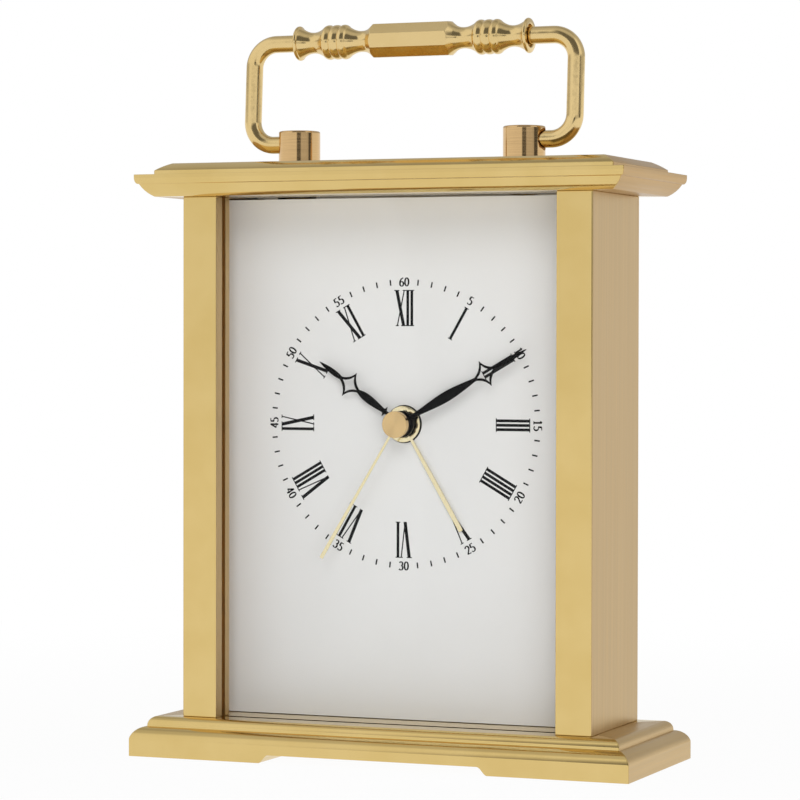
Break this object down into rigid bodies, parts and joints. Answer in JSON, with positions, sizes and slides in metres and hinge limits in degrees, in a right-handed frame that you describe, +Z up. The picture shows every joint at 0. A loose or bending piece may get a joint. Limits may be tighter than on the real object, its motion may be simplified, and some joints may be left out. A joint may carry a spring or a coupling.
{
  "type": "carriage clock",
  "caption": "Rectangular brass carriage clock with stepped moulded base and cap, glazed front, white Roman dial, alarm hand, swinging turned handle and a hinged rear door.",
  "frame": {"origin": "middle of the underside of the base", "axes": "+X to the right seen from the front, -Y out of the dial towards the viewer, +Z up"},
  "size_m": [0.115, 0.0448, 0.1608],
  "materials": {
    "polished_brass": "polished, lacquered",
    "satin_brass": "fine vertical brushing, lacquered",
    "plain_brass": "plain",
    "spun_brass": "spun, circular grain",
    "pale_gold": "satin, pale gold",
    "felt": "black felt",
    "glass": "clear float glass",
    "white_dial": "matt white lacquer",
    "steel": "plain steel",
    "soft_iron": "annealed",
    "magnet": "ferrite",
    "black_plastic": "moulded",
    "white_plastic": "acetal",
    "black_knob": "moulded, semi-gloss",
    "copper_wire": "enamelled copper winding on its bobbin",
    "circuit_board": "green solder mask",
    "black_resin": "epoxy",
    "bright_can": "tinned can",
    "battery_jacket": "plain grey jacket",
    "contact_strip": "nickel plated spring strip",
    "pipe_metal": "turned",
    "black_hands": "black lacquer on stamped aluminium"
  },
  "bodies": {
    "case": {"alarm_spring": "plain_brass", "base_felt_pads": "felt", "base_plinth": "polished_brass", "battery": "battery_jacket", "battery_contact_negative": "contact_strip", "battery_contact_positive": "contact_strip", "buzzer": "black_plastic", "cap_plate": "polished_brass", "circuit_board": "circuit_board", "coil_core": "soft_iron", "coil_winding": "copper_wire", "control_chip": "black_resin", "dial_plate": "white_dial", "dial_studs": "plain_brass", "door_hinge_pins": "steel", "door_magnet": "magnet", "front_glass": "glass", "gear_bridge": "white_plastic", "handle_post_left": "satin_brass", "handle_post_right": "satin_brass", "handle_post_screws": "steel", "movement_back_housing": "black_plastic", "movement_front_housing": "black_plastic", "movement_screws": "steel", "quartz_crystal": "bright_can", "side_frame_left": "satin_brass", "side_frame_right": "satin_brass", "stator": "soft_iron", "tie_rods": "steel"},
    "handle": {"handle_arm_left": "polished_brass", "handle_arm_right": "polished_brass", "handle_grip": "polished_brass"},
    "rear_door": {"rear_door": "satin_brass", "door_knob": "polished_brass", "door_strike": "steel"},
    "minute_hand": {"minute_hand": "black_hands", "minute_pipe": "pipe_metal", "centre_wheel": "white_plastic"},
    "hour_hand": {"hour_hand": "black_hands", "hour_wheel": "white_plastic"},
    "second_hand": {"second_hand": "pale_gold", "hand_cap": "spun_brass", "seconds_wheel": "white_plastic"},
    "third_wheel": {"third_wheel": "white_plastic"},
    "step_wheel": {"step_wheel": "white_plastic"},
    "rotor": {"rotor_pinion": "white_plastic", "rotor_magnet": "magnet"},
    "minute_wheel": {"minute_wheel": "white_plastic"},
    "time_set_knob": {"time_set_knob": "black_knob"},
    "alarm_hand": {"alarm_hand": "pale_gold", "alarm_wheel": "white_plastic"},
    "alarm_set_knob": {"alarm_set_knob": "black_knob"},
    "alarm_switch": {"alarm_switch": "black_knob"}
  },
  "joints": [
    {"name": "handle_swing", "type": "hinge", "parent": "case", "child": "handle", "pos_m": [0, 0, 0.1345], "axis": [1, 0, 0], "range_deg": [-91.2, 98.8]},
    {"name": "rear_door_hinge", "type": "hinge", "parent": "case", "child": "rear_door", "pos_m": [0.0419, 0.014, 0.065], "axis": [0, 0, -1], "range_deg": [0, 110]},
    {"name": "minute_hand_turn", "type": "hinge", "parent": "case", "child": "minute_hand", "pos_m": [0, 0, 0.07305], "axis": [0, 1, 0], "continuous": true},
    {"name": "hour_hand_turn", "type": "hinge", "parent": "case", "child": "hour_hand", "pos_m": [0, 0, 0.07305], "axis": [0, 1, 0], "continuous": true},
    {"name": "second_hand_turn", "type": "hinge", "parent": "case", "child": "second_hand", "pos_m": [0, 0, 0.07305], "axis": [0, 1, 0], "continuous": true},
    {"name": "third_wheel_turn", "type": "hinge", "parent": "case", "child": "third_wheel", "pos_m": [-0.00799, 0, 0.07014], "axis": [0, 1, 0], "continuous": true},
    {"name": "step_wheel_turn", "type": "hinge", "parent": "case", "child": "step_wheel", "pos_m": [-0.0054, 0, 0.07948], "axis": [0, 1, 0], "continuous": true},
    {"name": "rotor_turn", "type": "hinge", "parent": "case", "child": "rotor", "pos_m": [-0.00644, 0, 0.08539], "axis": [0, 1, 0], "continuous": true},
    {"name": "minute_wheel_turn", "type": "hinge", "parent": "case", "child": "minute_wheel", "pos_m": [0.00789, 0, 0.07018], "axis": [0, 1, 0], "continuous": true},
    {"name": "time_set_knob_turn", "type": "hinge", "parent": "case", "child": "time_set_knob", "pos_m": [0.01579, 0, 0.0673], "axis": [0, 1, 0], "continuous": true},
    {"name": "alarm_hand_turn", "type": "hinge", "parent": "case", "child": "alarm_hand", "pos_m": [0, 0, 0.07305], "axis": [0, 1, 0], "continuous": true},
    {"name": "alarm_set_knob_turn", "type": "hinge", "parent": "case", "child": "alarm_set_knob", "pos_m": [0.00909, 0, 0.0783], "axis": [0, 1, 0], "continuous": true},
    {"name": "alarm_switch_slide", "type": "slide", "parent": "case", "child": "alarm_switch", "axis": [1, 0, 0], "range_m": [0, 0.003]}
  ],
  "couplings": [
    {"joint": "hour_hand_turn", "follows": "minute_hand_turn", "ratio": 0.083333},
    {"joint": "second_hand_turn", "follows": "minute_hand_turn", "ratio": 60},
    {"joint": "third_wheel_turn", "follows": "minute_hand_turn", "ratio": -8},
    {"joint": "step_wheel_turn", "follows": "minute_hand_turn", "ratio": -360},
    {"joint": "rotor_turn", "follows": "minute_hand_turn", "ratio": 1800},
    {"joint": "minute_wheel_turn", "follows": "minute_hand_turn", "ratio": -0.33333},
    {"joint": "time_set_knob_turn", "follows": "minute_hand_turn", "ratio": 1},
    {"joint": "alarm_set_knob_turn", "follows": "alarm_hand_turn", "ratio": -2}
  ]
}
